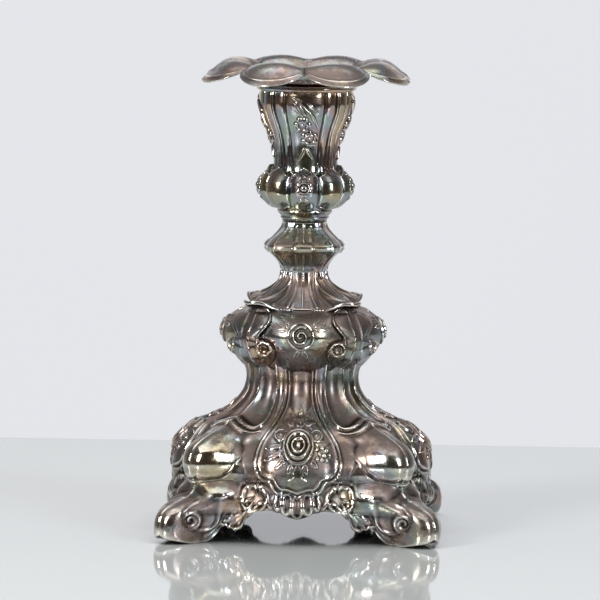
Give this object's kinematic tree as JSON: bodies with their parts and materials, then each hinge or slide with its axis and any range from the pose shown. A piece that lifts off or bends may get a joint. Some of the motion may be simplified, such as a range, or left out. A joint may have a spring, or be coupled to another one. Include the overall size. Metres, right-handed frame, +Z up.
{
  "type": "altar candlestick",
  "caption": "Square-based silver-plated candlestick on scroll feet, with a knopped stem, a vase socket and a lift-out nozzle with a petalled drip pan.",
  "frame": {"origin": "on the table, under the centre of the base", "axes": "+Z up along the stem; the four faces look along +X, -X, +Y and -Y"},
  "size_m": [0.141, 0.141, 0.2361],
  "materials": {
    "silver_plate": "polished silver plate on brass, tarnished in the recesses",
    "brass_inside": "dull unplated brass",
    "steel_rod": "mild steel, darkened",
    "filling": "cast plaster",
    "green_felt": "wool felt"
  },
  "bodies": {
    "candlestick": {"foot_rear_right": "silver_plate", "foot_rear_left": "silver_plate", "foot_front_left": "silver_plate", "foot_front_right": "silver_plate", "bracket_rear_right": "silver_plate", "bracket_rear_left": "silver_plate", "bracket_front_left": "silver_plate", "bracket_front_right": "silver_plate", "apron_right": "silver_plate", "apron_rear": "silver_plate", "apron_left": "silver_plate", "apron_front": "silver_plate", "base_shell": "silver_plate", "shoulder_shell": "silver_plate", "stem_skirt": "silver_plate", "knop_lower": "silver_plate", "knop_upper": "silver_plate", "neck_ring": "silver_plate", "socket_bulb": "silver_plate", "socket_vase": "silver_plate", "socket_rim": "silver_plate", "socket_liner": "brass_inside", "tie_rod": "steel_rod", "rod_nut": "steel_rod", "rod_washer": "steel_rod", "base_filling": "filling", "bottom_plate": "brass_inside", "felt_lining": "green_felt"},
    "nozzle": {"drip_pan": "silver_plate", "nozzle_sleeve": "silver_plate"}
  },
  "joints": [
    {"name": "nozzle_lift", "type": "slide", "parent": "candlestick", "child": "nozzle", "axis": [0, 0, 1], "range_m": [0, 0.045]}
  ]
}
